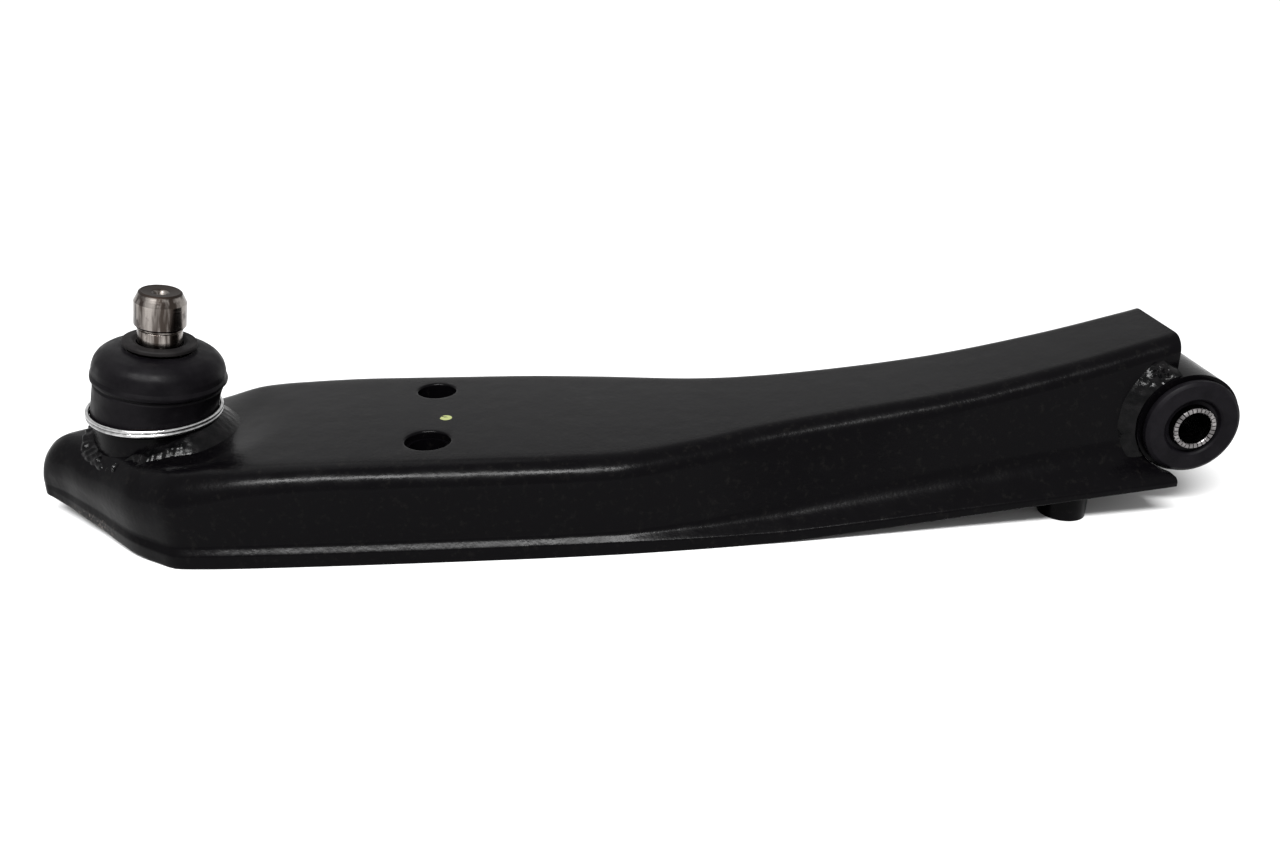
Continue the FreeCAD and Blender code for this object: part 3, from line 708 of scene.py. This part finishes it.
def turned_steel(name, dark, light, rough_low, rough_high, pits):
    """Ground or turned steel: fine rings round the piece's own Z, dark bands along Z that are painted
    reflection, stains and a few pits.
    """
    s = Shader(name, metallic=1.0)
    rings = s.node("ShaderNodeVectorMath", {0: s.place, 1: (6.0, 6.0, 2600.0)},
                   operation="MULTIPLY").outputs[0]
    lathe = s.node("ShaderNodeTexNoise", {"Vector": rings, "Scale": 1.0, "Detail": 4.0}
                   ).outputs["Fac"]
    stretched = s.node("ShaderNodeVectorMath", {0: s.place, 1: (1.0, 1.0, 0.12)},
                       operation="MULTIPLY").outputs[0]
    # Painted reflection: dark bands stretched along the axis, standing in for the dark surroundings
    # that a round bar reflects.
    reflection_streak = s.span(s.noise(3.2, 3.0, 0.6, stretched), 0.40, 0.62)
    stain = s.span(s.noise(5.0, 5.0, 0.65), 0.50, 0.72)
    # Dark where the painted reflection bands or the stain blotches fall.
    base = s.blend(s.maths("MAXIMUM", reflection_streak, stain), light, dark)
    base = s.blend(s.span(lathe, 0.55, 0.8, 0.0, 0.35), base, dark)
    spots = s.maths("MULTIPLY", s.span(s.noise(0.55, 3.0, 0.6), 0.68, 0.72),
                    s.span(s.noise(4.2, 2.0), 0.50, 0.60))
    spots = s.maths("MULTIPLY", spots, pits)
    base = s.blend(spots, base, (0.012, 0.010, 0.009))
    face = s.span(s.axis(2), 0.05700, 0.05745)
    base = s.blend(face, base, (0.016, 0.012, 0.010))
    rough = s.span(lathe, 0.3, 0.7, rough_low, rough_high)
    rough = s.maths("MAXIMUM", rough, s.maths("MULTIPLY", s.maths("MAXIMUM", spots, face), 0.6))
    relief = s.bump(lathe, 0.010)
    relief = s.bump(s.maths("SUBTRACT", 1.0, spots), 0.08, relief)
    return s.set(Base_Color=base, Roughness=rough, Normal=relief)


def plain_metal(name, dark, light, rough_low, rough_high, shade_end=None):
    """Steel or zinc with faint stains; given an end distance along its own Z, the colour nearer the
    middle is darkened almost to black as painted shade in the bore and under the rubber, and past it
    the steel keeps its own colour.
    """
    s = Shader(name, metallic=1.0)
    base = s.blend(s.span(s.noise(3.0, 5.0, 0.6), 0.35, 0.68), light, dark)
    if shade_end:
        # Painted shade: up to this distance from the middle the steel is made near black, standing in
        # for the shade inside the bore and the rubber recess; only the toothed ends keep the steel
        # colour.
        outer = s.span(s.maths("ABSOLUTE", s.axis(2)), (shade_end - 0.15) * MM, shade_end * MM)
        base = s.blend(outer, tuple(v * 0.12 for v in dark), base)
    rough = s.span(s.noise(2.0, 4.0), 0.3, 0.7, rough_low, rough_high)
    relief = s.bump(s.noise(0.8, 3.0), 0.02)
    return s.set(Base_Color=base, Roughness=rough, Normal=relief)


def plastic_material():
    s = Shader("seat_plastic", specular_ior_level=0.4)
    base = s.blend(s.noise(4.0, 4.0), (0.72, 0.70, 0.62), (0.84, 0.82, 0.76))
    rough = s.span(s.noise(1.5, 3.0), 0.3, 0.7, 0.35, 0.5)
    return s.set(Base_Color=base, Roughness=rough, Normal=s.bump(s.noise(0.6, 2.0), 0.02))


def floor_material():
    """Plain matt floor, paler away from the part so that it fades out without a horizon."""
    s = Shader("pale_floor", specular_ior_level=0.1, roughness=0.9)
    away = s.node("ShaderNodeVectorMath", {0: s.place}, operation="LENGTH").outputs["Value"]
    near = s.blend(s.noise(60.0, 4.0), (0.45, 0.45, 0.452), (0.47, 0.47, 0.47))
    base = s.blend(s.span(away, 0.35, 1.3), near, (0.97, 0.97, 0.97))
    return s.set(Base_Color=base, Normal=s.bump(s.noise(3.0, 3.0), 0.02))


def dress(obj, material):
    obj.data.materials.clear()
    obj.data.materials.append(material)


def dress_node(name, material, bevel=0.3):
    """Gives a CAD node its material and a small edge rounding."""
    obj = frame["nodes"][name]
    dress(obj, material)
    if bevel:
        modifier = obj.modifiers.new("edges", "BEVEL")
        modifier.width = bevel * MM
        modifier.segments = 2
        modifier.limit_method = "ANGLE"
        modifier.angle_limit = math.radians(50)


def fit(obj, body, slot_name, material, *nodes):
    """Hangs a finished piece on its body, in place of CAD nodes."""
    dress(obj, material)
    if nodes:
        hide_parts(*nodes)
    if body:
        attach(obj, body)
    return obj


# ---------------------------------------------------------------- assembly

coat = coat_material()
weld = weld_material()
boot_rubber = rubber_material("boot_rubber", (0.0012, 0.0010, 0.0014),
                              (0.0026, 0.0023, 0.0028), 0.34, 0.50, 0.02)
ring_rubber = rubber_material("retainer_rubber", (0.0042, 0.0038, 0.0040),
                              (0.0080, 0.0074, 0.0074), 0.5, 0.66, 0.02)
bush_rubber = rubber_material("bush_rubber", (0.0016, 0.0014, 0.0019),
                              (0.0034, 0.0030, 0.0038), 0.36, 0.50, 0.015)
stud_steel = turned_steel("stud_steel", (0.035, 0.028, 0.024), (0.23, 0.21, 0.195), 0.16, 0.28, 1.0)
# The sleeve gets painted shade up to 30.75 mm each side of its middle.
sleeve_steel = plain_metal("sleeve_steel", (0.10, 0.095, 0.095), (0.24, 0.23, 0.23), 0.2, 0.36, 30.75)
wire_steel = plain_metal("bright_wire", (0.22, 0.22, 0.22), (0.42, 0.42, 0.42), 0.12, 0.24)
zinc = plain_metal("zinc_steel", (0.26, 0.25, 0.22), (0.46, 0.45, 0.41), 0.35, 0.55)
spring = plain_metal("spring_steel", (0.10, 0.10, 0.11), (0.24, 0.24, 0.26), 0.3, 0.45)
plastic = plastic_material()

fit(make_skin(), "arm", "black_coat", coat, "arm_shell")
fit(make_housing_weld(), "arm", "weld_coat", weld, "housing_weld")
fit(make_pivot_weld("pivot_bead_near", -1), "arm", "weld_coat", weld, "pivot_weld_near")
fit(make_pivot_weld("pivot_bead_far", 1), "arm", "weld_coat", weld, "pivot_weld_far")
fit(make_clamp(), "arm", "bright_wire", wire_steel, "boot_clamp")
fit(make_rubber(), "arm", "bush_rubber", bush_rubber, "bush_rubber")
fit(make_sleeve(), "inner_sleeve", "sleeve_steel", sleeve_steel, "bush_inner_sleeve")
fit(make_stud(), "stud", "stud_steel", stud_steel, "ball_stud")
fit(make_retainer(), "stud_swing", "retainer_rubber", ring_rubber, "boot_retainer")
boot = fit(make_boot(), None, "boot_rubber", boot_rubber, "dust_boot")
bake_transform(boot)

for node in ("closing_plate", "spacer_near", "spacer_far", "pivot_tube", "ball_housing",
             "link_boss"):
    dress_node(node, coat)
for node in ("bush_outer_sleeve", "end_cap"):
    dress_node(node, zinc)
for node in ("seat_lower", "seat_upper"):
    dress_node(node, plastic, 0.0)
dress_node("preload_spring", spring, 0.0)


# ---------------------------------------------------------------- floor, light, camera

def make_floor():
    """A large square floor under the part."""
    size = 6.0
    corners = [(-size, -size, 0), (size, -size, 0), (size, size, 0), (-size, size, 0)]
    mesh = bpy.data.meshes.new("floor")
    mesh.from_pydata(corners, [], [(0, 1, 2, 3)])
    floor = bpy.data.objects.new("floor", mesh)
    floor.location = (-0.2, 0, FLOOR * MM)
    bpy.context.scene.collection.objects.link(floor)
    dress(floor, floor_material())


def make_light(name, place, target, width, depth, power, tint=(1, 1, 1)):
    """A rectangular softbox at place, facing target."""
    data = bpy.data.lights.new(name, "AREA")
    data.shape = "RECTANGLE"
    data.size, data.size_y = width, depth
    data.energy = power
    data.color = tint
    light = bpy.data.objects.new(name, data)
    light.location = place
    light.rotation_mode = "QUATERNION"
    light.rotation_quaternion = (Vector(target) - Vector(place)).to_track_quat("-Z", "Y")
    bpy.context.scene.collection.objects.link(light)


def make_world(strength):
    """An even white surround."""
    world = bpy.data.worlds.new("studio")
    world.use_nodes = True
    background = world.node_tree.nodes["Background"]
    background.inputs["Color"].default_value = (1.0, 1.0, 1.0, 1.0)
    background.inputs["Strength"].default_value = strength
    bpy.context.scene.world = world


def make_camera():
    """The view: from the near side, a little above, with the ball joint at the left."""
    data = bpy.data.cameras.new("camera")
    data.sensor_width, data.lens = 36.0, 32.19
    data.clip_start, data.clip_end = 0.01, 50.0
    camera = bpy.data.objects.new("camera", data)
    right = Vector((0.99600, -0.08826, 0.01312))
    up = Vector((0.02407, 0.40730, 0.91298))
    camera.matrix_world = Matrix.Translation((-0.23193, -0.38377, 0.16436)) @ Matrix(
        (right, up, right.cross(up))).transposed().to_4x4()
    bpy.context.scene.collection.objects.link(camera)
    bpy.context.scene.camera = camera


make_floor()
make_camera()
make_world(1.05)
make_light("key", (-0.36, -0.72, 0.95), (-0.24, 0, 0), 0.9, 0.15, 48.0)
make_light("top", (-0.65, 0.55, 1.1), (-0.2, 0, 0), 0.8, 0.8, 3.0)
bpy.context.scene.view_settings.view_transform = "Standard"
